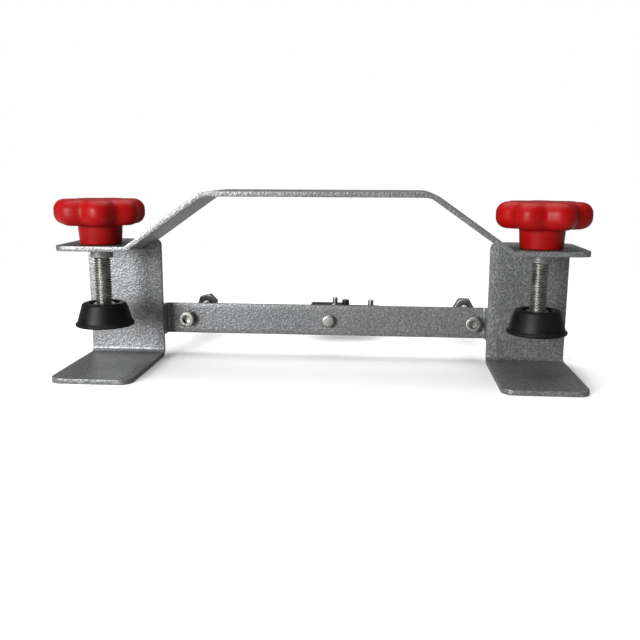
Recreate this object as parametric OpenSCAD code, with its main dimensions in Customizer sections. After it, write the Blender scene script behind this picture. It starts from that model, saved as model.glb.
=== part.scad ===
// Clamp-on board holder: a bent steel bridge joins two C-clamps, each with a
// star-knob screw and a swivelling rubber pad. A cross bar behind the clamps
// carries two long guide screws and a support block with locating pegs.
// +X runs to the right, +Y away from the clamp mouths, +Z up. The origin is
// at the middle of the footprint, on the surface that the lips stand on.

/* [Clamp brackets] */
// Width of each clamp, along X
clamp_w = 48.5; // [40:0.5:60]
// Clear distance between the two webs
span = 211; // [180:1:260]
// Height from the lip underside to the top of the upper flange
clamp_h = 78; // [70:1:90]
// How far the lower lip reaches in front of the web
lip_depth = 71; // [60:1:76]
// Thickness of all the bent steel strip
sheet = 3; // [2.5:0.5:3]
// Radius of the lip's front corners
lip_corner_r = 7; // [2:0.5:8]
// Radius of the web's top corners
web_corner_r = 4; // [2:0.5:6]
// Leg of the fillet weld between flange and web
weld_leg = 3.5; // [2:0.5:4]

/* [Bridge handle] */
// How far the upper flanges and the handle reach in front of the web
flange_depth = 54; // [50:1:58]
// Rise of the handle above the flanges
handle_rise = 32; // [31:1:45]
// X of the lower bends, where the handle leaves the flange
bend_low_x = 110.8; // [106:0.1:114]
// X of the upper bends, where the handle turns level
bend_high_x = 65.2; // [40:0.1:70]
// Radius of the two bends at the handle's feet
handle_foot_r = 5; // [4:1:9]
// Radius of the two bends at the top of the handle
handle_top_r = 15; // [6:1:18]

/* [Cross bar] */
// Height of the bar
bar_h = 20; // [16:1:24]
// Height of the bar's middle above the standing surface
bar_z = 24; // [20:1:30]
// Set-back of the bar's front face behind the web's front face
bar_setback = 12; // [11:0.5:16]
// Length of each foot that laps behind its web
foot_l = 22; // [14:1:30]
// Distance between neighbouring screws in the bar
screw_pitch = 94.5; // [85:0.5:95]
// Sideways shift of the row of three screws
screw_shift = 3; // [0:0.5:3]

/* [Clamp screws] */
// Major diameter of the clamp screw's thread
thread_d = 10; // [8:1:10]
// Radial running clearance of the screw in its bush and of the ball in its cup
running_gap = 0.06; // [0.03:0.01:0.09]
// Distance of the screw axis in front of the web
screw_offset = 37; // [34:0.5:38]
// Sideways shift of both screw axes from the middle of their clamps
axis_shift = -1; // [-2:0.5:2]
// Height of the pad's underside above the standing surface
pad_z = 28.5; // [28:0.5:32]

/* [Star knob] */
// Outer diameter over the lobes
knob_d = 54; // [50:0.5:58]
// Number of lobes
knob_lobes = 7; // [5:1:8]
// Height of the lobed head
head_h = 15; // [14.5:0.5:18]
// Height of the hub under the head
hub_h = 11.5; // [11:0.5:14]
// Diameter of the hub
hub_d = 25.4; // [22:0.2:28]

/* [Rubber pad] */
// Diameter over the pad's foot rim
pad_d = 35.2; // [30:0.2:36]
// Diameter of the pad's top
pad_top_d = 26; // [24:0.5:30]
// Height of the pad
pad_h = 14; // [14:0.5:15]

/* [Hidden] */
$fn = 64;

// Colours
PAINT = [0.56, 0.57, 0.58];
ZINC = [0.74, 0.74, 0.70];
BLACK_STEEL = [0.13, 0.13, 0.13];
RED = [0.80, 0.06, 0.05];
RUBBER = [0.05, 0.05, 0.06];
BRASS = [0.78, 0.62, 0.32];
BEAD = [0.48, 0.49, 0.50];

// Places along Y: the web's front face, and the ends of the whole object
rear_reach = 78;
web_y = (lip_depth - rear_reach) / 2;
web_back = web_y + sheet;
screw_y = web_y - screw_offset;
bar_front = web_y + bar_setback;
bar_back = bar_front + sheet;

// Places along X
web_in = span / 2;
web_out = web_in + clamp_w;
clamp_x = (web_in + web_out) / 2;
function screw_x(side) = side * clamp_x + axis_shift;

// Bends
bend_steps = 8;
lip_bend_r = 4.5;
bar_bend_r = 3;
flange_corner_r = 7;

// Heights
flange_z = clamp_h;
flange_low = clamp_h - sheet;
handle_z = clamp_h + handle_rise;

// Threaded bush pressed into the flange
bush_d = 13.2;
bush_spigot_d = 12.4;
bush_drop = 5;

// Clamp screw, ball and cup
neck_r = 3.5;
ball_r = 5;
ball_z = pad_z + 8.5;
cup_r = 8;
cup_low = ball_z - 6.3;
cup_top = ball_z + 3.4;
washer_low = ball_z + 4;
washer_t = 1;
washer_r = 6.5;
shoulder_z = washer_low + washer_t + running_gap;
knob_gap = 0.3;
hub_low = flange_z + knob_gap;
hub_top = hub_low + hub_h;
knob_top = hub_top + head_h;
spindle_top = hub_low + 20;
insert_r = 7.5;
insert_low = hub_low + 0.5;
insert_h = 14;
groove_r = 9;
first_lobe = -71;
groove_depth = 4.2;
knob_round = 7;

// Long guide screws with hexagon nuts, and the centre screw
guide_r = 3;
guide_head_r = 5;
guide_head_h = 6;
guide_socket_af = 5;
guide_socket_depth = 3.5;
guide_end = web_y + 77;
nut_af = 13;
nut_front = web_y + 66;
nut_t = 8;
left_nut_turn = -14.5;
centre_r = 2;
centre_head_r = 4.3;
centre_head_h = 4.2;
centre_end = web_y + 68;

// Support block with its tongue, screw and pegs
block_w = 28;
block_front = web_y + 64;
block_back = web_y + rear_reach;
block_low = bar_z - 3.6;
block_top = bar_z + 1.2;
tongue_x = 36;
tongue_t = 3;
peg_y = (block_front + block_back) / 2;
block_screw_x = 11.5;
peg_x = 3.8;
keeper_x = 30;
peg_r = 1.8;
keeper_r = 2;
peg_top = bar_z + 6.2;
keeper_top = bar_z + 4.6;

// One unit vector, its left normal and the signed turn between two of them
function unit(v) = v / norm(v);
function left_of(d) = [-d.y, d.x];
function turn(d1, d2) = atan2(d1.x * d2.y - d1.y * d2.x, d1 * d2);

// Points of one side of a bend: a, b and c are path points, r the radius of
// the centreline and s the offset of this side to the left of it
function bend_arc(a, b, c, r, s) =
  let (d1 = unit(b - a), q = turn(d1, unit(c - b)), g = sign(q),
       start = b - d1 * r * tan(abs(q) / 2),
       centre = start + g * r * left_of(d1), heading = atan2(d1.y, d1.x))
  [for (k = [0:bend_steps])
    let (h = heading + q * k / bend_steps)
    centre + (s - g * r) * [-sin(h), cos(h)]];
function strip_side(path, radii, s) =
  let (last = len(path) - 1)
  [for (i = [0:last]) each
    i == 0 ? [path[0] + s * left_of(unit(path[1] - path[0]))] :
    i == last ? [path[last] + s * left_of(unit(path[last] - path[last - 1]))] :
    bend_arc(path[i - 1], path[i], path[i + 1], radii[i - 1], s)];
function reversed(list) = [for (i = [len(list) - 1:-1:0]) list[i]];

// Edge view of a bent strip along a path, with one radius for each bend
module strip_profile(path, radii) {
  polygon(concat(strip_side(path, radii, sheet / 2),
                 reversed(strip_side(path, radii, -sheet / 2))));
}

// Rectangle from corner a to corner b, with round corners
module round_plate(a, b, r) {
  for (x = [a.x + r, b.x - r], y = [a.y + r, b.y - r])
    translate([x, y]) circle(r);
  translate([a.x + r, a.y]) square([b.x - a.x - 2 * r, b.y - a.y]);
  translate([a.x, a.y + r]) square([b.x - a.x, b.y - a.y - 2 * r]);
}

// Cylinder along +Y from y0 to y1
module rod_y(r, x, y0, y1, z) {
  translate([x, y0, z]) rotate([-90, 0, 0]) cylinder(r = r, h = y1 - y0);
}

// Handle and both upper flanges, one bent strip
module bridge_strip() {
  low = flange_low + sheet / 2;
  high = handle_z - sheet / 2;
  path = [[-web_out, low], [-bend_low_x, low], [-bend_high_x, high],
          [bend_high_x, high], [bend_low_x, low], [web_out, low]];
  radii = [handle_foot_r, handle_top_r, handle_top_r, handle_foot_r];
  color(PAINT) difference() {
    intersection() {
      translate([0, web_y, 0]) rotate([90, 0, 0])
        linear_extrude(flange_depth) strip_profile(path, radii);
      linear_extrude(2 * handle_z)
        round_plate([-web_out, web_y - flange_depth],
                    [web_out, web_y + 2 * flange_corner_r], flange_corner_r);
    }
    for (side = [-1, 1])
      translate([screw_x(side), screw_y, flange_low - sheet])
        cylinder(d = bush_spigot_d, h = 3 * sheet);
  }
}

// Web and lower lip, one bent strip; side is -1 on the left and 1 on the right
module bracket(side) {
  path = [[web_y + sheet / 2, flange_z], [web_y + sheet / 2, sheet / 2],
          [web_y - lip_depth, sheet / 2]];
  color(PAINT) intersection() {
    translate([side * clamp_x - clamp_w / 2, 0, 0])
      rotate([90, 0, 90]) linear_extrude(clamp_w) strip_profile(path, [lip_bend_r]);
    linear_extrude(flange_z)
      round_plate([side * clamp_x - clamp_w / 2, web_y - lip_depth],
                  [side * clamp_x + clamp_w / 2, web_back + 2 * lip_corner_r],
                  lip_corner_r);
    translate([0, web_back, 0]) rotate([90, 0, 0]) linear_extrude(2 * lip_depth)
      round_plate([side * clamp_x - clamp_w / 2, -2 * web_corner_r],
                  [side * clamp_x + clamp_w / 2, flange_z], web_corner_r);
  }
}

// Fillet welds in the corners under the flanges
module flange_welds() {
  length = web_out - bend_low_x - 6;
  color(BEAD) for (side = [-1, 1])
    translate([side * (web_out - 2 - length / 2) - length / 2, web_y, flange_low])
      rotate([90, 0, 90]) linear_extrude(length)
        polygon([[0, 0], [-weld_leg, 0], [0, -weld_leg]]);
}

// Flat bar with its ends turned forward and feet lapping behind the webs
module cross_bar() {
  leg_x = web_in + sheet / 2;
  foot_y = web_back + sheet / 2;
  mid_y = bar_front + sheet / 2;
  path = [[-leg_x - foot_l, foot_y], [-leg_x, foot_y], [-leg_x, mid_y],
          [leg_x, mid_y], [leg_x, foot_y], [leg_x + foot_l, foot_y]];
  radii = [bar_bend_r, bar_bend_r, bar_bend_r, bar_bend_r];
  color(PAINT) difference() {
    translate([0, 0, bar_z - bar_h / 2])
      linear_extrude(bar_h) strip_profile(path, radii);
    for (side = [-1, 1])
      rod_y(guide_r, screw_shift + side * screw_pitch, bar_front - sheet,
            bar_back + sheet, bar_z);
    rod_y(centre_r, screw_shift, bar_front - sheet, bar_back + sheet, bar_z);
  }
}

// Threaded bush with a spigot in the flange and a collar below it
module thread_bush(side) {
  bore_r = thread_d / 2 + running_gap;
  color(ZINC) translate([screw_x(side), screw_y, 0]) difference() {
    union() {
      translate([0, 0, flange_low - bush_drop]) cylinder(d = bush_d, h = bush_drop);
      translate([0, 0, flange_low]) cylinder(d = bush_spigot_d, h = sheet);
    }
    translate([0, 0, flange_low - bush_drop - 1]) cylinder(r = bore_r, h = 2 * clamp_h);
  }
}

// Two long socket-head screws through the bar
module guide_screws() {
  color(ZINC) for (side = [-1, 1]) let (x = screw_shift + side * screw_pitch)
    difference() {
      union() {
        rod_y(guide_head_r, x, bar_front - guide_head_h, bar_front, bar_z);
        rod_y(guide_r, x, bar_front - 1, guide_end, bar_z);
      }
      translate([x, bar_front - guide_head_h - 1, bar_z]) rotate([-90, 0, 0])
        cylinder(d = guide_socket_af / cos(30), h = guide_socket_depth + 1, $fn = 6);
    }
}

// Hexagon nuts at the rear ends of the guide screws
module guide_nuts() {
  color(ZINC) for (side = [-1, 1]) let (x = screw_shift + side * screw_pitch)
    difference() {
      translate([x, nut_front, bar_z]) rotate([-90, 0, 0])
        rotate(side < 0 ? left_nut_turn : 0)
          cylinder(d = nut_af / cos(30), h = nut_t, $fn = 6);
      rod_y(guide_r, x, nut_front - 1, nut_front + nut_t + 1, bar_z);
    }
}

// Screw that holds the support block behind the bar
module centre_screw() {
  color(ZINC) {
    rod_y(centre_head_r, screw_shift, bar_front - centre_head_h, bar_front, bar_z);
    rod_y(centre_r, screw_shift, bar_front - 1, centre_end, bar_z);
  }
}

// Block with a low tongue to the right, drilled for screw and pegs
module support_block() {
  color(BLACK_STEEL) difference() {
    union() {
      translate([-block_w / 2, block_front, block_low])
        cube([block_w, block_back - block_front, block_top - block_low]);
      translate([0, block_front, block_low])
        cube([tongue_x, block_back - block_front, tongue_t]);
    }
    rod_y(centre_r, screw_shift, block_front - 1, centre_end, bar_z);
    translate([peg_x, peg_y, block_top - 1]) cylinder(r = peg_r, h = 2);
    translate([keeper_x, peg_y, block_low - 1]) cylinder(r = keeper_r, h = tongue_t + 2);
    translate([block_screw_x, peg_y, block_low - 1])
      cylinder(r = 1.5, h = block_top - block_low + 2);
  }
}

// Small cap screw on the block
module block_screw() {
  color(BLACK_STEEL) translate([block_screw_x, peg_y, 0]) {
    translate([0, 0, block_low]) cylinder(r = 1.5, h = block_top - block_low + 0.5);
    translate([0, 0, block_top]) cylinder(r = 2.6, h = 3.2);
  }
}

// Pegs that enter the holes of the held board
module locating_peg() {
  color(ZINC) translate([peg_x, peg_y, block_top - 1])
    cylinder(r = peg_r, h = peg_top - block_top + 1);
}
module keeper_peg() {
  color(ZINC) translate([keeper_x, peg_y, block_low])
    cylinder(r = keeper_r, h = keeper_top - block_low);
}

// Clamp screw: threaded shank, neck and ball
module spindle(side) {
  color(ZINC) translate([screw_x(side), screw_y, 0]) {
    translate([0, 0, ball_z]) sphere(ball_r);
    translate([0, 0, ball_z]) cylinder(r = neck_r, h = shoulder_z - ball_z + 1);
    translate([0, 0, shoulder_z]) cylinder(d = thread_d, h = spindle_top - shoulder_z);
  }
}

// Cross-section of the knob head, from its axis out, with rounded edges
module head_section() {
  r = knob_d / 2;
  square([r - knob_round, head_h]);
  translate([0, knob_round]) square([r, head_h - 2 * knob_round]);
  for (z = [knob_round, head_h - knob_round])
    translate([r - knob_round, z]) circle(knob_round);
}

// Star knob: lobed head and plain hub, with a pocket for its insert
module knob(side) {
  r = knob_d / 2;
  color(RED) translate([screw_x(side), screw_y, 0]) difference() {
    union() {
      translate([0, 0, hub_low]) cylinder(d = hub_d, h = hub_h + 1);
      translate([0, 0, hub_top]) difference() {
        rotate_extrude() intersection() {
          head_section();
          square([knob_d, head_h]);
        }
        for (k = [0:knob_lobes - 1])
          rotate(first_lobe + (k + 0.5) * 360 / knob_lobes)
            translate([r - groove_depth + groove_r, 0, -1])
              cylinder(r = groove_r, h = head_h + 2);
      }
    }
    translate([0, 0, hub_low - 1]) cylinder(r = insert_r, h = insert_low + insert_h - hub_low + 1);
    translate([0, 0, hub_low]) cylinder(d = thread_d, h = spindle_top - hub_low);
  }
}

// Threaded insert moulded into the knob
module knob_insert(side) {
  color(BRASS) translate([screw_x(side), screw_y, insert_low]) difference() {
    cylinder(r = insert_r, h = insert_h);
    translate([0, 0, -1]) cylinder(d = thread_d, h = insert_h + 2);
  }
}

// Washer between the screw's shoulder and the cup
module thrust_washer(side) {
  color(ZINC) translate([screw_x(side), screw_y, washer_low]) difference() {
    cylinder(r = washer_r, h = washer_t);
    translate([0, 0, -1]) cylinder(r = neck_r + running_gap, h = washer_t + 2);
  }
}

// Cup that grips the ball
module swivel_cup(side) {
  color(BLACK_STEEL) translate([screw_x(side), screw_y, 0]) difference() {
    translate([0, 0, cup_low]) cylinder(r = cup_r, h = cup_top - cup_low);
    translate([0, 0, ball_z]) sphere(ball_r + running_gap);
  }
}

// Rubber pad: a tapered foot with a small rim, moulded round the cup
module rubber_pad(side) {
  rim_h = 1.6;
  color(RUBBER) translate([screw_x(side), screw_y, 0]) difference() {
    rotate_extrude() polygon([
      [0, pad_z], [pad_d / 2 - 0.4, pad_z], [pad_d / 2, pad_z + 0.5],
      [pad_d / 2, pad_z + rim_h - 0.4], [pad_d / 2 - 0.5, pad_z + rim_h],
      [pad_top_d / 2, pad_z + pad_h - 1.6], [pad_top_d / 2 - 1.6, pad_z + pad_h],
      [0, pad_z + pad_h]]);
    translate([0, 0, cup_low]) cylinder(r = cup_r, h = pad_h);
  }
}

bridge_strip();
bracket(-1);  // left_bracket
bracket(1);  // right_bracket
flange_welds();
cross_bar();
thread_bush(-1);  // left_thread_bush
thread_bush(1);  // right_thread_bush
guide_screws();
guide_nuts();
centre_screw();
support_block();
block_screw();
locating_peg();
keeper_peg();
spindle(-1);  // left_spindle
spindle(1);  // right_spindle
knob(-1);  // left_knob
knob(1);  // right_knob
knob_insert(-1);  // left_knob_insert
knob_insert(1);  // right_knob_insert
thrust_washer(-1);  // left_thrust_washer
thrust_washer(1);  // right_thrust_washer
swivel_cup(-1);  // left_swivel_cup
swivel_cup(1);  // right_swivel_cup
rubber_pad(-1);  // left_rubber_pad
rubber_pad(1);  // right_rubber_pad
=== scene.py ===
"""Looks of the clamp-on board holder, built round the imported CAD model. Units are metres."""

import math

import bmesh
import bpy
from mathutils import Matrix, Vector


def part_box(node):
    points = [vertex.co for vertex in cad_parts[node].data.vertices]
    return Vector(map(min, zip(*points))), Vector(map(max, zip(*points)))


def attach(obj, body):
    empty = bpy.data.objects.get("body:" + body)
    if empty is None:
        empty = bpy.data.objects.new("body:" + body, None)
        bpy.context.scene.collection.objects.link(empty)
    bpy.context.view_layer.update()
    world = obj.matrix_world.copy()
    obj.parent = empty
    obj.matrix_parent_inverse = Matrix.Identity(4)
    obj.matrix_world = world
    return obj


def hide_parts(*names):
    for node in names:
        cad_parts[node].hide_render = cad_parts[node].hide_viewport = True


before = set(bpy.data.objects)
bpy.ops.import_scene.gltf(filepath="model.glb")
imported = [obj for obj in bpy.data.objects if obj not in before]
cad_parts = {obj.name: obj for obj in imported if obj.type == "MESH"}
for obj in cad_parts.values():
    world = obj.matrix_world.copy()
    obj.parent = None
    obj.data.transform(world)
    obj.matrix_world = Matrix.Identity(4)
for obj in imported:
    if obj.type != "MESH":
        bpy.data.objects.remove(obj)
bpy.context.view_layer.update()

MM = 0.001
SIDES = {"left": -1, "right": 1}

# ---------------------------------------------------------------- driving sizes
SHEET = 3 * MM
EDGE_R = 0.45 * MM
MERGE_GAP = 0.002 * MM
PLATE_CORNER_R = 7 * MM
WEB_CORNER_R = 4 * MM
HANDLE_FOOT_R = 5 * MM
HANDLE_TOP_R = 15 * MM
LIP_BEND_R = 4.5 * MM
BAR_BEND_R = 3 * MM

low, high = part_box("bridge_strip")
HALF_SPAN = high[0]
STRIP_FRONT = low[1]
HANDLE_TOP = high[2]
FLANGE_LOW = low[2]
FLANGE_TOP = FLANGE_LOW + SHEET
BEND_LOW_X = 110.8 * MM
BEND_HIGH_X = 65.2 * MM

low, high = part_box("right_bracket")
CLAMP_W = high[0] - low[0]
WEB_IN = low[0]
CLAMP_X = (low[0] + high[0]) / 2
LIP_FRONT = low[1]
WEB_BACK = high[1]
WEB_FRONT = WEB_BACK - SHEET

low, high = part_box("cross_bar")
BAR_LOW, BAR_HIGH = low[2], high[2]
BAR_BACK = high[1]
BAR_FRONT = BAR_BACK - SHEET
BAR_Z = (BAR_LOW + BAR_HIGH) / 2
FOOT_END = high[0]

low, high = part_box("right_knob")
KNOB_LOW, KNOB_TOP = low[2], high[2]
KNOB_R = 27 * MM
LOBES = 7
HUB_H = 11.5 * MM
HUB_R = 12.7 * MM
GROOVE_DEPTH = 4 * MM
VALLEY_SOFTNESS = 0.35
HEAD_ROUND = 6.4 * MM
FIRST_LOBE = -71
HUB_FOOT_R = HUB_R - 0.5 * MM
HUB_NECK_R = HUB_R + 0.3 * MM
HEAD_FLOOR_R = HUB_R + 4 * MM
TOP_DISH = 0.35 * MM
INSERT_R = 7.5 * MM

SCREW_X = {}
for word in SIDES:
    low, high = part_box(word + "_spindle")
    SCREW_X[word] = (low[0] + high[0]) / 2
SCREW_Y = (low[1] + high[1]) / 2
SPINDLE_LOW, SPINDLE_TOP = low[2], high[2]
THREAD_R = (high[0] - low[0]) / 2
THREAD_PITCH = 1.5 * MM
THREAD_DEPTH = 0.92 * MM
RUNNING_GAP = 0.06 * MM
BALL_R = 5 * MM
NECK_R = 3.5 * MM
SHOULDER_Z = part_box("right_thrust_washer")[1][2]

low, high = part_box("right_rubber_pad")
PAD_LOW, PAD_TOP = low[2], high[2]
PAD_R = (high[0] - low[0]) / 2
PAD_TOP_R = 13 * MM
CUP_R = 8 * MM

low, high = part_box("guide_screws")
GUIDE_HEAD_R = 5 * MM
GUIDE_HEAD_H = BAR_FRONT - low[1]
GUIDE_END = high[1]
GUIDE_R = 3 * MM
GUIDE_X = (low[0] + GUIDE_HEAD_R, high[0] - GUIDE_HEAD_R)
SOCKET_AF = 5 * MM
SOCKET_DEPTH = 3.5 * MM
GUIDE_PITCH = 1 * MM
GUIDE_GROOVE = 0.6 * MM
NUT_FRONT, NUT_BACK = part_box("guide_nuts")[0][1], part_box("guide_nuts")[1][1]
NUT_AF = 13 * MM
NUT_SPIN = (14.5, 0)

low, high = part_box("centre_screw")
CENTRE_X = (low[0] + high[0]) / 2
CENTRE_HEAD_R = (high[0] - low[0]) / 2
CENTRE_HEAD_H = BAR_FRONT - low[1]
CENTRE_END = high[1]
CENTRE_R = 2 * MM
CENTRE_PITCH = 0.7 * MM
CENTRE_GROOVE = 0.42 * MM

BUSH_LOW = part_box("right_thread_bush")[0][2]
BUSH_R = 6.6 * MM
SPIGOT_R = 6.2 * MM


# ---------------------------------------------------------------- mesh helpers
def add_piece(name, verts, faces, material, body, replaces=(), sharp=35):
    """A mesh piece from points and faces, smooth but for edges over the sharp angle in degrees."""
    mesh = bpy.data.meshes.new(name)
    mesh.from_pydata([tuple(v) for v in verts], [], faces)
    return finish_piece(name, mesh, material, body, replaces, sharp)


def finish_piece(name, mesh, material, body, replaces, sharp):
    """Welds, smooths and paints a mesh, ties it to its body and hides the CAD parts it replaces."""
    bm = bmesh.new()
    bm.from_mesh(mesh)
    bmesh.ops.remove_doubles(bm, verts=bm.verts, dist=MERGE_GAP)
    bmesh.ops.recalc_face_normals(bm, faces=bm.faces)
    bm.to_mesh(mesh)
    bm.free()
    mesh.materials.append(material)
    mesh.shade_smooth()
    mesh.set_sharp_from_angle(angle=math.radians(sharp))
    piece = bpy.data.objects.new(name, mesh)
    bpy.context.scene.collection.objects.link(piece)
    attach(piece, body)
    if replaces:
        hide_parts(*replaces)
    return piece


def skin(rings, loop=False):
    """Faces over rings of points of equal count. A ring of one point closes an end."""
    verts, starts = [], []
    for ring in rings:
        starts.append(len(verts))
        verts += ring
    faces = []
    pairs = list(zip(range(len(rings) - 1), range(1, len(rings))))
    if loop:
        pairs.append((len(rings) - 1, 0))
    for i, j in pairs:
        a, b, na, nb = starts[i], starts[j], len(rings[i]), len(rings[j])
        n = max(na, nb)
        for k in range(n):
            m = (k + 1) % n
            if na == 1:
                faces.append((a, b + k, b + m))
            elif nb == 1:
                faces.append((a + k, b, a + m))
            else:
                faces.append((a + k, b + k, b + m, a + m))
    return verts, faces


def upright(x, y, spin=0.0):
    """Placing of a ring point given by radius, angle and height, round a vertical axis."""
    turn = math.radians(spin)
    return lambda r, a, h: (x + r * math.cos(a + turn), y + r * math.sin(a + turn), h)


def along_y(x, z, spin=0.0):
    """The same, round an axis along Y."""
    turn = math.radians(spin)
    return lambda r, a, h: (x + r * math.cos(a + turn), h, z + r * math.sin(a + turn))


def ring(place, radius, height, count):
    """One ring. The radius is a number, or a function of the angle."""
    if not callable(radius) and radius <= 0:
        return [place(0, 0, height)]
    angles = [2 * math.pi * k / count for k in range(count)]
    return [place(radius(a) if callable(radius) else radius, a, height) for a in angles]


def rounded(points, steps=5):
    """A polyline of (r, h, fillet radius) with its corners turned into arcs."""
    out = []
    for i, (x, y, r) in enumerate(points):
        if r <= 0 or i in (0, len(points) - 1):
            out.append((x, y))
            continue
        p = Vector((x, y))
        before = (Vector(points[i - 1][:2]) - p).normalized()
        after = (Vector(points[i + 1][:2]) - p).normalized()
        half = before.angle(after) / 2
        reach = r / math.tan(half)
        centre = p + (before + after).normalized() * (r / math.sin(half))
        start = p + before * reach - centre
        sweep = start.angle_signed(p + after * reach - centre)
        for k in range(steps + 1):
            turn = -sweep * k / steps
            c, s = math.cos(turn), math.sin(turn)
            out.append((centre.x + c * start.x - s * start.y, centre.y + s * start.x + c * start.y))
    return out


def lathe(place, outline, count):
    """Rings of a turned shape, one for each (r, h) of its outline."""
    return [ring(place, r, h, count) for r, h in outline]


def thread_radius(r, pitch, depth):
    """Radius of a thread at an angle and a height: flat crest, sloped flanks, flat root."""
    flank_slope = 1.45
    crest_flat = 0.22

    def at(a, h):
        phase = (h / pitch - a / (2 * math.pi)) % 1
        wave = abs(2 * phase - 1) * flank_slope - crest_flat
        return r - depth * min(max(wave, 0), 1)

    return at


def thread_rings(place, r, pitch, depth, h0, h1, count, per_turn):
    """Rings of a real thread, chamfered at both ends."""
    at = thread_radius(r, pitch, depth)
    steps = max(2, round((h1 - h0) / pitch * per_turn))
    rings = []
    for i in range(steps + 1):
        h = h0 + (h1 - h0) * i / steps
        limit = min(r, r - depth + (h - h0), r - depth + (h1 - h))
        rings.append(ring(place, lambda a, h=h, limit=limit: min(at(a, h), limit), h, count))
    return rings


def hexagon(af):
    """Radius of a hexagon of that width across its flats, corner at angle 0."""
    return lambda a: af / 2 / math.cos((a % (math.pi / 3)) - math.pi / 6)


# ---------------------------------------------------------------- bent strips
class Path:
    """A bent strip's centreline: straight runs joined by arcs, measured by developed length."""

    def __init__(self, points, radii):
        self.parts, self.length = [], 0.0
        points = [Vector(p) for p in points]
        at = points[0]
        for i in range(1, len(points)):
            along = (points[i] - points[i - 1]).normalized()
            heading = math.atan2(along.y, along.x)
            if i == len(points) - 1:
                self._line(at, along, (points[i] - at).length)
                break
            onward = (points[i + 1] - points[i]).normalized()
            bend = math.atan2(along.x * onward.y - along.y * onward.x, along.dot(onward))
            r = radii[i - 1]
            cut = r * math.tan(abs(bend) / 2)
            self._line(at, along, (points[i] - at).length - cut)
            start = points[i] - along * cut
            side = math.copysign(1, bend)
            centre = start + Vector((-along.y, along.x)) * r * side
            self.parts.append(("arc", self.length, r * abs(bend), centre, heading, bend, r * side))
            self.length += r * abs(bend)
            at = points[i] + onward * cut

    def _line(self, start, along, length):
        self.parts.append(("line", self.length, length, start, along))
        self.length += length

    def place(self, s):
        """Point and left normal at developed length s."""
        for part in self.parts:
            if s <= part[1] + part[2] or part is self.parts[-1]:
                break
        u = s - part[1]
        if part[0] == "line":
            along = part[4]
            return part[3] + along * u, Vector((-along.y, along.x))
        turned = part[4] + part[5] * u / part[2]
        normal = Vector((-math.sin(turned), math.cos(turned)))
        return part[3] - normal * part[6], normal

    def stations(self, gap, arc_steps):
        """Developed lengths for cross rows: gap apart on straight runs, closer on arcs."""
        out = []
        for part in self.parts:
            count = arc_steps if part[0] == "arc" else max(1, math.ceil(part[2] / gap))
            out += [part[1] + part[2] * k / count for k in range(count)]
        return out + [self.length]


def strip_mesh(name, path, width, corner_start, corner_end, put, gap=8 * MM, arc_steps=10, columns=6):
    """A bent strip with round corners at its ends and softened edges.
    put(point, across) gives the place of a point of the edge view, that far across the strip."""
    corner_steps = 8

    def half_width(s):
        """Half of the strip's width, narrowing where its end corners are round."""
        half = width / 2
        for radius, inside in ((corner_start, s), (corner_end, path.length - s)):
            if inside < radius:
                drop = math.sqrt(max(radius**2 - (radius - inside) ** 2, 0))
                half = min(half, width / 2 - radius + drop)
        return half

    stops = set()
    for radius, mirrored in ((corner_start, False), (corner_end, True)):
        for k in range(corner_steps + 1):
            inside = radius * (1 - math.cos(math.pi / 2 * k / corner_steps))
            stops.add(round(path.length - inside if mirrored else inside, 7))
    for s in path.stations(gap, arc_steps):
        if corner_start + MM < s < path.length - corner_end - MM:
            stops.add(round(s, 7))
    stops = sorted(stops)
    bm = bmesh.new()
    sheets = []
    for level in (SHEET / 2, -SHEET / 2):
        rows = []
        for s in stops:
            half = half_width(s)
            across = [half * (2 * k / columns - 1) for k in range(columns + 1)]
            rows.append([bm.verts.new((s, y, level)) for y in across])
        sheets.append(rows)
    for rows in sheets:
        for a, b in zip(rows, rows[1:]):
            for k in range(columns):
                bm.faces.new((a[k], a[k + 1], b[k + 1], b[k]))
    top, under = sheets
    rim = [row[0] for row in top] + top[-1][1:-1] + [row[-1] for row in reversed(top)] + top[0][-2:0:-1]
    low_rim = [row[0] for row in under] + under[-1][1:-1] + [row[-1] for row in reversed(under)]
    low_rim += under[0][-2:0:-1]
    walls = []
    for k in range(len(rim)):
        m = (k + 1) % len(rim)
        walls.append(bm.faces.new((rim[k], rim[m], low_rim[m], low_rim[k])))
    bmesh.ops.recalc_face_normals(bm, faces=bm.faces)
    wall_set = set(walls)
    edges = [e for e in bm.edges if sum(face in wall_set for face in e.link_faces) == 1]
    bmesh.ops.bevel(bm, geom=edges, offset=EDGE_R, segments=3, profile=0.5, affect="EDGES",
                    clamp_overlap=True)
    for v in bm.verts:
        s, across, offset = v.co
        point, normal = path.place(min(max(s, 0), path.length))
        v.co = put(point + normal * offset, across)
    mesh = bpy.data.meshes.new(name)
    bm.to_mesh(mesh)
    bm.free()
    return mesh


def bevelled_prism(name, outline, y0, y1, bevel):
    """A solid with an outline in X and Z, from y0 to y1, with softened edges."""
    bm = bmesh.new()
    front = [bm.verts.new((x, y0, z)) for x, z in outline]
    back = [bm.verts.new((x, y1, z)) for x, z in outline]
    bm.faces.new(front)
    bm.faces.new(back[::-1])
    for k in range(len(outline)):
        m = (k + 1) % len(outline)
        bm.faces.new((front[k], back[k], back[m], front[m]))
    bmesh.ops.recalc_face_normals(bm, faces=bm.faces)
    bmesh.ops.bevel(bm, geom=bm.edges[:], offset=bevel, segments=3, profile=0.5, affect="EDGES")
    mesh = bpy.data.meshes.new(name)
    bm.to_mesh(mesh)
    bm.free()
    return mesh


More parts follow.
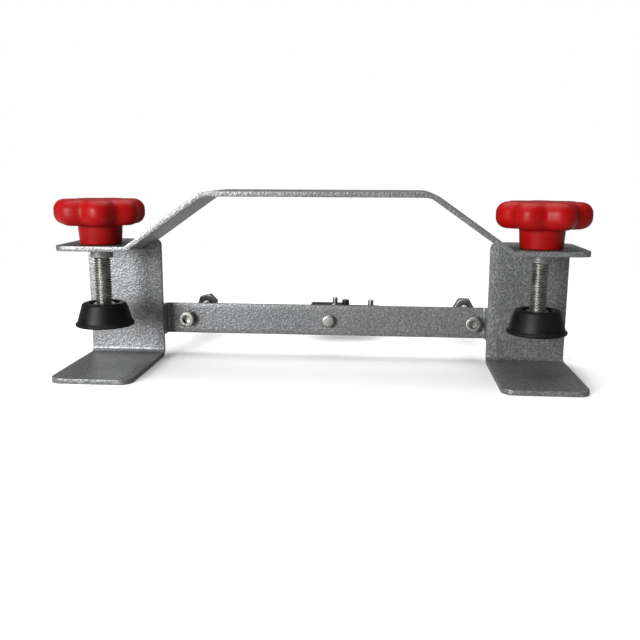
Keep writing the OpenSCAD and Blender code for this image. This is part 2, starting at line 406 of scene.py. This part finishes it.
# ---------------------------------------------------------------- materials
class Nodes:
    """Short way to build a node material around one Principled shader."""

    def __init__(self, name, **fixed):
        self.material = bpy.data.materials.new(name)
        self.material.use_nodes = True
        self.tree = self.material.node_tree
        self.shader = self.tree.nodes["Principled BSDF"]
        for socket, value in fixed.items():
            self.shader.inputs[socket.replace("_", " ")].default_value = value
        self.coords = self.add("ShaderNodeTexCoord").outputs["Object"]

    def add(self, kind, **inputs):
        """A new node, each input linked to a socket or set to a value."""
        node = self.tree.nodes.new(kind)
        for key, value in inputs.items():
            socket = node.inputs[key.replace("_", " ")]
            if isinstance(value, bpy.types.NodeSocket):
                self.tree.links.new(value, socket)
            else:
                socket.default_value = value
        return node

    def noise(self, scale, detail=3.0, rough=0.55, stretch=(1, 1, 1)):
        """Fractal noise in object space."""
        moved = self.add("ShaderNodeMapping", Vector=self.coords, Scale=stretch)
        return self.add("ShaderNodeTexNoise", Vector=moved.outputs[0], Scale=scale, Detail=detail,
                        Roughness=rough).outputs["Fac"]

    def cells(self, scale, warp):
        """Rounded cells in object space, their walls bent by up to warp."""
        wobble = self.add("ShaderNodeTexNoise", Vector=self.coords, Scale=scale * 0.8, Detail=2.0)
        shift = self.tree.nodes.new("ShaderNodeVectorMath")
        shift.operation = "MULTIPLY_ADD"
        self.tree.links.new(wobble.outputs["Color"], shift.inputs[0])
        shift.inputs[1].default_value = (warp, warp, warp)
        self.tree.links.new(self.coords, shift.inputs[2])
        node = self.add("ShaderNodeTexVoronoi", Vector=shift.outputs[0], Scale=scale)
        node.feature = "SMOOTH_F1"
        return node.outputs["Distance"]

    def ramp(self, value, *stops):
        """Colour ramp with stops of (place, colour) or (place, (grey,))."""
        node = self.add("ShaderNodeValToRGB", Fac=value)
        while len(node.color_ramp.elements) < len(stops):
            node.color_ramp.elements.new(0.5)
        for element, (place, colour) in zip(node.color_ramp.elements, stops):
            element.position = place
            element.color = (*colour, 1) if len(colour) == 3 else (colour[0],) * 3 + (1,)
        return node.outputs["Color"]

    def blend(self, factor, a, b, kind="MIX"):
        """Mix of two colours, each a socket or a value."""
        node = self.tree.nodes.new("ShaderNodeMix")
        node.data_type = "RGBA"
        node.blend_type = kind
        for place, value in ((0, factor), (6, a), (7, b)):
            if isinstance(value, bpy.types.NodeSocket):
                self.tree.links.new(value, node.inputs[place])
            else:
                node.inputs[place].default_value = value if place == 0 else (*value, 1)
        return node.outputs[2]

    def total(self, a, b, share):
        """The value a plus a share of b."""
        scaled = self.add("ShaderNodeMath")
        scaled.operation = "MULTIPLY_ADD"
        self.tree.links.new(b, scaled.inputs[0])
        scaled.inputs[1].default_value = share
        self.tree.links.new(a, scaled.inputs[2])
        return scaled.outputs[0]

    def finish(self, colour, roughness=None, height=None, depth=0.0, strength=1.0):
        """Links colour, roughness and a bump of that depth to the shader."""
        links = self.tree.links
        links.new(colour, self.shader.inputs["Base Color"])
        if roughness is not None:
            links.new(roughness, self.shader.inputs["Roughness"])
        if height is not None:
            bump = self.add("ShaderNodeBump", Height=height, Strength=strength, Distance=depth)
            links.new(bump.outputs["Normal"], self.shader.inputs["Normal"])
        return self.material


def hammertone():
    """Silver hammertone enamel: shallow dimples with bright flecks of aluminium pigment between them."""
    n = Nodes("hammertone_paint", Metallic=0.45)
    dimples = n.cells(860, warp=0.0004)
    fine = n.noise(1900, 3)
    broad = n.noise(45, 2)
    body = n.ramp(dimples, (0.1, (0.075, 0.077, 0.079)), (0.45, (0.14, 0.142, 0.145)),
                  (0.8, (0.225, 0.228, 0.231)))
    flecks = n.ramp(n.noise(1200, 4, 0.7), (0.58, (0, 0, 0)), (0.7, (1, 1, 1)))
    colour = n.blend(flecks, body, (0.36, 0.365, 0.37))
    colour = n.blend(0.35, colour, n.ramp(broad, (0.3, (0.7, 0.7, 0.7)), (0.7, (1, 1, 1))), "MULTIPLY")
    roughness = n.ramp(fine, (0.3, (0.32,)), (0.7, (0.48,)))
    return n.finish(colour, roughness, n.total(dimples, fine, 0.3), 0.18 * MM, 0.8)


def weld_paint():
    """Painted weld bead, rougher than the sheet."""
    n = Nodes("weld_paint", Metallic=0.5)
    grain = n.noise(700, 4)
    colour = n.ramp(grain, (0.3, (0.09, 0.092, 0.094)), (0.7, (0.24, 0.243, 0.246)))
    return n.finish(colour, n.ramp(grain, (0.3, (0.35,)), (0.7, (0.55,))), grain, 0.3 * MM, 0.5)


def zinc(name, stretch):
    """Zinc plate with a faint yellow cast, fine scratches and duller patches."""
    n = Nodes(name, Metallic=1.0)
    patches = n.noise(180, 3)
    scratches = n.noise(900, 2, stretch=stretch)
    colour = n.ramp(patches, (0.3, (0.17, 0.168, 0.155)), (0.55, (0.30, 0.297, 0.28)),
                    (0.8, (0.46, 0.46, 0.445)))
    roughness = n.ramp(n.total(patches, scratches, 0.5), (0.45, (0.3,)), (1.0, (0.46,)))
    return n.finish(colour, roughness, scratches, 0.02 * MM, 0.3)


def black_steel():
    """Black oxide on steel."""
    n = Nodes("black_steel", Metallic=0.7)
    grain = n.noise(800, 4)
    colour = n.ramp(n.noise(120, 3), (0.35, (0.012, 0.012, 0.012)), (0.75, (0.04, 0.04, 0.038)))
    return n.finish(colour, n.ramp(grain, (0.3, (0.32,)), (0.7, (0.5,))), grain, 0.05 * MM, 0.5)


def red_plastic():
    """Glossy moulded thermoplastic with faint flow clouding and fine surface ripple."""
    n = Nodes("red_plastic", Specular_IOR_Level=0.13)
    cloud = n.noise(45, 3)
    ripple = n.noise(260, 3)
    colour = n.ramp(cloud, (0.3, (0.20, 0.0012, 0.0012)), (0.7, (0.26, 0.002, 0.002)))
    roughness = n.ramp(ripple, (0.3, (0.34,)), (0.7, (0.46,)))
    return n.finish(colour, roughness, ripple, 0.03 * MM, 0.3)


def brass():
    """Machined brass with fine turning marks."""
    n = Nodes("brass", Metallic=1.0)
    turned = n.noise(600, 3, stretch=(0.2, 0.2, 6))
    colour = n.ramp(turned, (0.3, (0.55, 0.38, 0.14)), (0.7, (0.72, 0.53, 0.24)))
    return n.finish(colour, n.ramp(turned, (0.3, (0.22,)), (0.7, (0.38,))), turned, 0.05 * MM, 0.4)


def rubber():
    """Black moulded rubber with a little dust."""
    n = Nodes("black_rubber", Specular_IOR_Level=0.15)
    grain = n.noise(1200, 3)
    dust = n.noise(90, 4)
    colour = n.ramp(dust, (0.35, (0.003, 0.003, 0.0033)), (0.75, (0.007, 0.007, 0.0073)))
    return n.finish(colour, n.ramp(dust, (0.3, (0.34,)), (0.7, (0.5,))), grain, 0.06 * MM, 0.5)


def nylon():
    """Black moulded nylon."""
    n = Nodes("black_nylon")
    grain = n.noise(900, 3)
    colour = n.ramp(n.noise(100, 3), (0.3, (0.018, 0.018, 0.02)), (0.7, (0.035, 0.035, 0.037)))
    return n.finish(colour, n.ramp(grain, (0.3, (0.4,)), (0.7, (0.6,))), grain, 0.05 * MM, 0.5)


PAINT = hammertone()
WELD = weld_paint()
ZINC_UPRIGHT = zinc("zinc_plate_upright", (1, 1, 0.15))
ZINC_LEVEL = zinc("zinc_plate_level", (1, 0.15, 1))
BLACK = black_steel()
RED = red_plastic()
BRASS = brass()
RUBBER = rubber()
NYLON = nylon()


# ---------------------------------------------------------------- bent steel
def build_bridge():
    """Handle and both upper flanges, one bent strip."""
    low_z = FLANGE_LOW + SHEET / 2
    high_z = HANDLE_TOP - SHEET / 2
    path = Path([(-HALF_SPAN, low_z), (-BEND_LOW_X, low_z), (-BEND_HIGH_X, high_z),
                 (BEND_HIGH_X, high_z), (BEND_LOW_X, low_z), (HALF_SPAN, low_z)],
                [HANDLE_FOOT_R, HANDLE_TOP_R, HANDLE_TOP_R, HANDLE_FOOT_R])
    middle = (STRIP_FRONT + WEB_FRONT) / 2
    put = lambda p, across: (p.x, middle + across, p.y)
    mesh = strip_mesh("bridge", path, WEB_FRONT - STRIP_FRONT, PLATE_CORNER_R, PLATE_CORNER_R, put)
    finish_piece("bridge", mesh, PAINT, "frame", ("bridge_strip",), 40)


def build_bracket(word, side):
    """Web and lower lip of one clamp, one bent strip."""
    web_mid = WEB_FRONT + SHEET / 2
    path = Path([(web_mid, FLANGE_TOP), (web_mid, SHEET / 2), (LIP_FRONT, SHEET / 2)], [LIP_BEND_R])
    put = lambda p, across: (side * CLAMP_X + across, p.x, p.y)
    name = word + "_web_and_lip"
    mesh = strip_mesh(name, path, CLAMP_W, WEB_CORNER_R, PLATE_CORNER_R, put)
    finish_piece(name, mesh, PAINT, "frame", (word + "_bracket",), 40)


def build_bar():
    """Cross bar with its ends turned forward and feet lapping behind the webs."""
    leg_x = WEB_IN + SHEET / 2
    foot_y = WEB_BACK + SHEET / 2
    mid_y = BAR_FRONT + SHEET / 2
    path = Path([(-FOOT_END, foot_y), (-leg_x, foot_y), (-leg_x, mid_y),
                 (leg_x, mid_y), (leg_x, foot_y), (FOOT_END, foot_y)], [BAR_BEND_R] * 4)
    put = lambda p, across: (p.x, p.y, BAR_Z + across)
    mesh = strip_mesh("bent_bar", path, BAR_HIGH - BAR_LOW, 1.5 * MM, 1.5 * MM, put)
    finish_piece("bent_bar", mesh, PAINT, "frame", ("cross_bar",), 40)


def build_welds():
    """Rippled fillet beads in the corner under each flange."""
    low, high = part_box("flange_welds")
    outer_end = HALF_SPAN - 2 * MM
    inner_end = BEND_LOW_X + 4 * MM
    length = outer_end - inner_end
    leg = high[1] - low[1]
    ripple = 1.7 * MM
    steps = 110
    bead_steps = 6
    for side in (-1, 1):
        start = side * outer_end
        rings = []
        for i in range(steps + 1):
            t = i / steps
            wave = abs(math.sin(math.pi * t * length / ripple))
            fade = min(1, math.sin(math.pi * min(max(t, 0.01), 0.99)) * 9)
            size = leg * fade * (0.82 + 0.16 * wave)
            x = start - side * length * t
            angles = [math.pi / 2 * k / bead_steps for k in range(bead_steps + 1)]
            arc = [(x, WEB_FRONT - size * math.sin(q) ** 0.8, FLANGE_LOW - size * math.cos(q) ** 0.8)
                   for q in angles]
            rings.append([(x, WEB_FRONT, FLANGE_LOW)] + arc)
        ends = [[tuple(sum(p[k] for p in r) / len(r) for k in range(3))] for r in (rings[0], rings[-1])]
        verts, faces = skin([ends[0]] + rings + [ends[1]])
        name = ("left" if side < 0 else "right") + "_weld_bead"
        add_piece(name, verts, faces, WELD, "frame",
                  ("flange_welds",) if side < 0 else (), 60)


# ---------------------------------------------------------------- clamp screws
def lobes(a):
    """Plan radius of the knob: fat lobes with round valleys between them."""
    wave = math.hypot(math.cos((a - math.radians(FIRST_LOBE)) * LOBES / 2), VALLEY_SOFTNESS)
    crest = (wave - VALLEY_SOFTNESS) / (math.hypot(1, VALLEY_SOFTNESS) - VALLEY_SOFTNESS)
    return KNOB_R - GROOVE_DEPTH * (1 - crest)


def build_knob(word):
    """Star knob: hub with the insert's pocket, rounded lobed head and a slightly dished top."""
    place = upright(SCREW_X[word], SCREW_Y)
    count = 252
    floor_steps = 4
    round_steps = 14
    top_steps = 12
    head_low = KNOB_LOW + HUB_H
    head_mid = (head_low + KNOB_TOP) / 2
    flat = (KNOB_TOP - head_low) / 2 - HEAD_ROUND
    pocket_top = KNOB_LOW + 4 * MM
    hub = rounded([(0, pocket_top, 0), (INSERT_R, pocket_top, 0), (INSERT_R, KNOB_LOW, 0.3 * MM),
                   (HUB_FOOT_R, KNOB_LOW, 0.8 * MM), (HUB_NECK_R, head_low, 1.6 * MM),
                   (HEAD_FLOOR_R, head_low - 0.05 * MM, 0)])
    rings = lathe(place, hub, count)
    inner = lambda a: lobes(a) - HEAD_ROUND
    beyond_floor = lambda a: max(inner(a), HEAD_FLOOR_R) - HEAD_FLOOR_R
    for k in range(1, floor_steps):
        floor_radius = lambda a, k=k: HEAD_FLOOR_R + beyond_floor(a) * k / floor_steps
        rings.append(ring(place, floor_radius, head_low, count))
    for end, sign in ((head_mid - flat, -1), (head_mid + flat, 1)):
        for k in range(round_steps + 1):
            q = math.pi / 2 * k / round_steps
            q = math.pi / 2 - q if sign > 0 else q
            rings.append(ring(place, lambda a, q=q: inner(a) + HEAD_ROUND * math.sin(q),
                              end + sign * HEAD_ROUND * math.cos(q), count))
    for k in range(1, top_steps):
        t = k / top_steps
        dish = TOP_DISH * max(0, math.cos(math.pi * (1 - t) * 1.1)) ** 2
        rings.append(ring(place, lambda a, t=t: inner(a) * (1 - t), KNOB_TOP - dish, count))
    rings.append([place(0, 0, KNOB_TOP - TOP_DISH)])
    verts, faces = skin(rings)
    add_piece(word + "_star_knob", verts, faces, RED, word + "_screw",
              (word + "_knob",), 50)


def build_insert(word):
    """Threaded brass ring moulded into the hub."""
    low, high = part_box(word + "_knob_insert")
    place = upright(SCREW_X[word], SCREW_Y)
    bore = THREAD_R - 0.9 * MM
    outer = high[0] - SCREW_X[word]
    outline = rounded([(bore, low[2] + 0.6 * MM, 0), (THREAD_R, low[2], 0.1 * MM),
                       (outer, low[2], 0.2 * MM), (outer, high[2], 0.2 * MM), (bore, high[2], 0)])
    verts, faces = skin(lathe(place, outline, 72), loop=True)
    add_piece(word + "_insert_ring", verts, faces, BRASS, word + "_screw",
              (word + "_knob_insert",), 35)


def build_spindle(word):
    """Ball, neck, shoulder and a rolled M10 thread of 1.5 mm pitch."""
    place = upright(SCREW_X[word], SCREW_Y)
    count = 72
    ball_z = SPINDLE_LOW + BALL_R
    top_of_ball = math.asin(NECK_R / BALL_R)
    ball_steps = 14
    ball = []
    for k in range(1, ball_steps + 1):
        q = math.pi - (math.pi - top_of_ball) * k / ball_steps
        ball.append((BALL_R * math.sin(q), ball_z + BALL_R * math.cos(q)))
    shoulder = SHOULDER_Z + RUNNING_GAP
    neck = rounded([(NECK_R, ball[-1][1] + 0.2 * MM, 0), (NECK_R, shoulder, 0.1 * MM),
                    (THREAD_R - 0.5 * MM, shoulder, 0), (THREAD_R - THREAD_DEPTH, SHOULDER_Z + 0.4 * MM, 0)])
    rings = [[place(0, 0, SPINDLE_LOW)]] + lathe(place, ball + neck, count)
    rings += thread_rings(place, THREAD_R, THREAD_PITCH, THREAD_DEPTH, SHOULDER_Z + 0.5 * MM,
                          SPINDLE_TOP, count, per_turn=12)
    rings.append([place(0, 0, SPINDLE_TOP)])
    verts, faces = skin(rings)
    add_piece(word + "_threaded_spindle", verts, faces, ZINC_UPRIGHT, word + "_screw",
              (word + "_spindle",), 50)


def build_bush(word):
    """Threaded bush: collar under the flange and a spigot through it, a little proud on top."""
    place = upright(SCREW_X[word], SCREW_Y)
    bore = THREAD_R + 0.05 * MM
    spigot_top = FLANGE_TOP + 0.12 * MM
    outline = rounded([(bore, BUSH_LOW + 0.7 * MM, 0), (bore + 0.7 * MM, BUSH_LOW, 0.1 * MM),
                       (BUSH_R, BUSH_LOW, 0.5 * MM), (BUSH_R, FLANGE_LOW, 0), (SPIGOT_R, FLANGE_LOW, 0),
                       (SPIGOT_R, spigot_top, 0.1 * MM), (bore + 0.5 * MM, spigot_top, 0),
                       (bore, FLANGE_TOP - 0.4 * MM, 0)])
    verts, faces = skin(lathe(place, outline, 96), loop=True)
    add_piece(word + "_bush", verts, faces, PAINT, "frame",
              (word + "_thread_bush",), 35)


def build_washer(word):
    """Thrust washer round the screw's neck."""
    low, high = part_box(word + "_thrust_washer")
    place = upright(SCREW_X[word], SCREW_Y)
    outer = (high[0] - low[0]) / 2
    inner = NECK_R + RUNNING_GAP
    outline = rounded([(inner, low[2], 0), (outer, low[2], 0.2 * MM), (outer, high[2], 0.3 * MM),
                       (inner, high[2], 0)])
    verts, faces = skin(lathe(place, outline, 72), loop=True)
    add_piece(word + "_washer_disc", verts, faces, ZINC_UPRIGHT, word + "_washer",
              (word + "_thrust_washer",), 35)


def build_cup(word):
    """Nylon cup with a round seat that closes over the ball."""
    low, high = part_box(word + "_swivel_cup")
    place = upright(SCREW_X[word], SCREW_Y)
    ball_z = SPINDLE_LOW + BALL_R
    hollow = BALL_R + RUNNING_GAP
    mouth = math.acos((high[2] - 0.3 * MM - ball_z) / hollow)
    seat_steps = 16
    inside = []
    for k in range(seat_steps + 1):
        q = mouth + (math.pi - mouth) * k / seat_steps
        inside.append((hollow * math.sin(q) if k < seat_steps else 0, ball_z + hollow * math.cos(q)))
    shell = rounded([(0, low[2], 0), (CUP_R, low[2], 0.5 * MM), (CUP_R, high[2], 0.4 * MM),
                     (inside[0][0] + 0.3 * MM, high[2], 0)])
    verts, faces = skin(lathe(place, shell + inside, 72))
    add_piece(word + "_ball_cup", verts, faces, NYLON, word + "_pad",
              (word + "_swivel_cup",), 40)


def build_pad(word):
    """Moulded rubber foot: rim, tapered flank and a rounded crown with the cup's well."""
    place = upright(SCREW_X[word], SCREW_Y)
    well = CUP_R + 0.02 * MM
    cup_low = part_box(word + "_swivel_cup")[0][2]
    dished = PAD_LOW + 0.5 * MM
    outline = rounded([
        (0, dished, 0), (PAD_R - 5 * MM, dished, 0.3 * MM), (PAD_R - 4.4 * MM, PAD_LOW, 0.3 * MM),
        (PAD_R - 0.1 * MM, PAD_LOW, 0.7 * MM), (PAD_R, PAD_LOW + 1.4 * MM, 0.5 * MM),
        (PAD_R - 1.1 * MM, PAD_LOW + 2.4 * MM, 1.6 * MM),
        (PAD_TOP_R + 0.2 * MM, PAD_TOP - 0.6 * MM, 1.4 * MM), (PAD_TOP_R - 1.2 * MM, PAD_TOP, 0.6 * MM),
        (well + 1.6 * MM, PAD_TOP, 0.4 * MM), (well + 0.8 * MM, PAD_TOP - 1.2 * MM, 0.3 * MM),
        (well, PAD_TOP - 1.4 * MM, 0), (well, cup_low, 0), (0, cup_low, 0)], 6)
    verts, faces = skin(lathe(place, outline, 128))
    add_piece(word + "_foot", verts, faces, RUBBER, word + "_pad",
              (word + "_rubber_pad",), 45)


# ---------------------------------------------------------------- parts on the bar
def build_guide_screws():
    """Socket-head screws through the bar, threaded to their far ends."""
    count = 72
    socket = hexagon(SOCKET_AF)
    head_low = BAR_FRONT - GUIDE_HEAD_H
    floor = head_low + SOCKET_DEPTH
    for index, x in enumerate(GUIDE_X):
        place = along_y(x, BAR_Z, 12 + 20 * index)
        rings = [[place(0, 0, floor + 0.9 * MM)],
                 ring(place, lambda a: socket(a) * 0.96, floor, count),
                 ring(place, socket, floor, count),
                 ring(place, socket, head_low + 0.35 * MM, count),
                 ring(place, lambda a: max(socket(a), SOCKET_AF / 2 * 1.12), head_low, count)]
        head = rounded([(SOCKET_AF / 2 * 1.25, head_low, 0), (GUIDE_HEAD_R, head_low, 0.7 * MM),
                        (GUIDE_HEAD_R, BAR_FRONT, 0.1 * MM), (GUIDE_R, BAR_FRONT, 0),
                        (GUIDE_R, BAR_BACK + MM, 0), (GUIDE_R * 0.85, BAR_BACK + 1.4 * MM, 0)], 6)
        rings += lathe(place, head, count)
        rings += thread_rings(place, GUIDE_R, GUIDE_PITCH, GUIDE_GROOVE, BAR_BACK + 1.5 * MM,
                              GUIDE_END, count, per_turn=9)
        rings.append([place(0, 0, GUIDE_END)])
        verts, faces = skin(rings)
        name = ("left", "right")[index] + "_guide_screw"
        replaced = ("guide_screws",) if index == 0 else ()
        add_piece(name, verts, faces, ZINC_LEVEL, "frame", replaced, 40)


def build_guide_nuts():
    """Hexagon nuts with their corners turned off at 30 degrees on both faces."""
    count = 144
    outer = hexagon(NUT_AF)
    slope = math.tan(math.radians(30))
    bore = GUIDE_R + 0.02 * MM
    for index, x in enumerate(GUIDE_X):
        place = along_y(x, BAR_Z, NUT_SPIN[index])
        rings = []
        steps = [0, 0.12, 0.25, 0.4, 0.6, 0.8, 1.1, 1.5]
        heights = [NUT_FRONT + s * MM for s in steps] + [NUT_BACK - s * MM for s in reversed(steps)]
        for h in heights:
            edge = min(h - NUT_FRONT, NUT_BACK - h)
            limit = NUT_AF / 2 * 0.95 + edge / slope
            rings.append(ring(place, lambda a, limit=limit: min(outer(a), limit), h, count))
        rings += lathe(place, [(bore + 0.8 * MM, NUT_BACK), (bore, NUT_BACK - 0.7 * MM),
                               (bore, NUT_FRONT + 0.7 * MM), (bore + 0.8 * MM, NUT_FRONT)], count)
        verts, faces = skin(rings, loop=True)
        name = ("left", "right")[index] + "_guide_nut"
        replaced = ("guide_nuts",) if index == 0 else ()
        add_piece(name, verts, faces, ZINC_LEVEL, "frame", replaced, 28)


def build_centre_screw():
    """Screw with a plain domed head and a fine thread that reaches the block."""
    place = along_y(CENTRE_X, BAR_Z)
    count = 64
    head_low = BAR_FRONT - CENTRE_HEAD_H
    head = rounded([(0, head_low, 0), (CENTRE_HEAD_R, head_low, 1.3 * MM),
                    (CENTRE_HEAD_R, BAR_FRONT, 0.1 * MM), (CENTRE_R, BAR_FRONT, 0),
                    (CENTRE_R, BAR_BACK + MM, 0), (CENTRE_R * 0.85, BAR_BACK + 1.3 * MM, 0)], 6)
    rings = lathe(place, head, count)
    rings += thread_rings(place, CENTRE_R, CENTRE_PITCH, CENTRE_GROOVE, BAR_BACK + 1.4 * MM,
                          CENTRE_END, count, per_turn=8)
    rings.append([place(0, 0, CENTRE_END)])
    verts, faces = skin(rings)
    add_piece("middle_screw", verts, faces, ZINC_LEVEL, "frame", ("centre_screw",), 40)


def build_block():
    """Stepped block that carries the pegs: full height on the left, a thin tongue on the right."""
    low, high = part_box("support_block")
    half = -low[0]
    tongue = low[2] + 3 * MM
    outline = [(low[0], low[2]), (high[0], low[2]), (high[0], tongue), (half, tongue),
               (half, high[2]), (low[0], high[2])]
    mesh = bevelled_prism("peg_block", outline, low[1], high[1], 0.4 * MM)
    finish_piece("peg_block", mesh, BLACK, "frame", ("support_block",), 35)


def build_block_screw():
    """Small screw with a domed head that is hollow on top."""
    low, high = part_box("block_screw")
    shank_r = 1.5 * MM
    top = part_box("support_block")[1][2]
    place = upright((low[0] + high[0]) / 2, (low[1] + high[1]) / 2)
    r = (high[0] - low[0]) / 2
    outline = rounded([(0, low[2], 0), (shank_r, low[2], 0), (shank_r, top, 0), (r, top, 0.1 * MM),
                       (r, high[2], 0.7 * MM), (1.2 * MM, high[2], 0), (1.0 * MM, high[2] - 0.7 * MM, 0),
                       (0, high[2] - 0.8 * MM, 0)])
    verts, faces = skin(lathe(place, outline, 48))
    add_piece("block_pan_screw", verts, faces, BLACK, "frame", ("block_screw",), 35)


def build_pegs():
    """Two plain pins with rounded tops."""
    for node in ("locating_peg", "keeper_peg"):
        low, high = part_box(node)
        place = upright((low[0] + high[0]) / 2, (low[1] + high[1]) / 2)
        r = (high[0] - low[0]) / 2
        outline = rounded([(0, low[2], 0), (r, low[2], 0), (r, high[2], 0.8 * MM), (0, high[2], 0)], 7)
        verts, faces = skin(lathe(place, outline, 48))
        add_piece(node + "_pin", verts, faces, ZINC_UPRIGHT, "frame", (node,), 35)


# ---------------------------------------------------------------- stage
def build_stage():
    """Flat pale floor. The white surroundings take over behind it."""
    n = Nodes("pale_paper", Roughness=0.9, Specular_IOR_Level=0.15)
    colour = n.ramp(n.noise(3, 2), (0.3, (0.92, 0.92, 0.92)), (0.7, (0.94, 0.94, 0.94)))
    seen = n.add("ShaderNodeLightPath").outputs["Is Camera Ray"]
    paper = n.finish(n.blend(seen, (0.42, 0.42, 0.42), colour))
    half, front, back = 1.3, -1.1, 0.5
    mesh = bpy.data.meshes.new("floor")
    corners = [(-half, front, 0), (half, front, 0), (half, back, 0), (-half, back, 0)]
    mesh.from_pydata(corners, [], [(0, 1, 2, 3)])
    mesh.materials.append(paper)
    floor = bpy.data.objects.new("floor", mesh)
    bpy.context.scene.collection.objects.link(floor)


def area_light(name, place, target, size, power):
    """A white rectangular softbox that faces its target."""
    data = bpy.data.lights.new(name, "AREA")
    data.shape = "RECTANGLE"
    data.size, data.size_y = size
    data.energy = power
    light = bpy.data.objects.new(name, data)
    light.location = place
    light.rotation_euler = (Vector(target) - Vector(place)).to_track_quat("-Z", "Y").to_euler()
    bpy.context.scene.collection.objects.link(light)


def build_lights():
    """A dim white room, seen as plain white, with a softbox overhead and one at the front left."""
    world = bpy.data.worlds.new("studio")
    world.use_nodes = True
    tree = world.node_tree
    room = tree.nodes["Background"]
    room.inputs["Strength"].default_value = 0.16
    room.inputs["Color"].default_value = (1, 1, 1, 1)
    white = tree.nodes.new("ShaderNodeBackground")
    white.inputs["Color"].default_value = (1, 1, 1, 1)
    seen = tree.nodes.new("ShaderNodeLightPath")
    mix = tree.nodes.new("ShaderNodeMixShader")
    tree.links.new(seen.outputs["Is Camera Ray"], mix.inputs[0])
    tree.links.new(room.outputs[0], mix.inputs[1])
    tree.links.new(white.outputs[0], mix.inputs[2])
    tree.links.new(mix.outputs[0], tree.nodes["World Output"].inputs["Surface"])
    bpy.context.scene.world = world
    area_light("top_softbox", (-0.1, 0.1, 1.2), (0, 0, 0), (1.6, 1.4), 24)
    area_light("key_softbox", (-0.72, -1.15, 0.3), (0, 0, 0.05), (0.6, 0.4), 30)
    bpy.context.scene.view_settings.view_transform = "Standard"


def build_camera():
    """The photograph's viewpoint: right of centre, just above the handle, looking a little down."""
    aside, distance, above_flanges = 0.0379, 0.4817, 0.043
    place = Vector((aside, WEB_FRONT - distance, FLANGE_TOP + above_flanges))
    yaw, pitch, roll = 0.0819, 0.1929, -0.0032
    ahead = math.cos(pitch)
    forward = Vector((-math.sin(yaw) * ahead, math.cos(yaw) * ahead, -math.sin(pitch)))
    level = Vector((math.cos(yaw), math.sin(yaw), 0))
    down = forward.cross(level)
    right = math.cos(roll) * level + math.sin(roll) * down
    down = -math.sin(roll) * level + math.cos(roll) * down
    data = bpy.data.cameras.new("camera")
    data.sensor_width = 36
    data.lens = 42.699
    data.clip_start = 0.01
    camera = bpy.data.objects.new("camera", data)
    turn = Matrix((right, -down, -forward)).transposed().to_4x4()
    camera.matrix_world = Matrix.Translation(place) @ turn
    bpy.context.scene.collection.objects.link(camera)
    bpy.context.scene.camera = camera


build_camera()
build_bridge()
build_bar()
build_welds()
for word, side in SIDES.items():
    build_bracket(word, side)
    build_knob(word)
    build_insert(word)
    build_spindle(word)
    build_bush(word)
    build_washer(word)
    build_cup(word)
    build_pad(word)
build_guide_screws()
build_guide_nuts()
build_centre_screw()
build_block()
build_block_screw()
build_pegs()
build_stage()
build_lights()

bpy.context.view_layer.update()
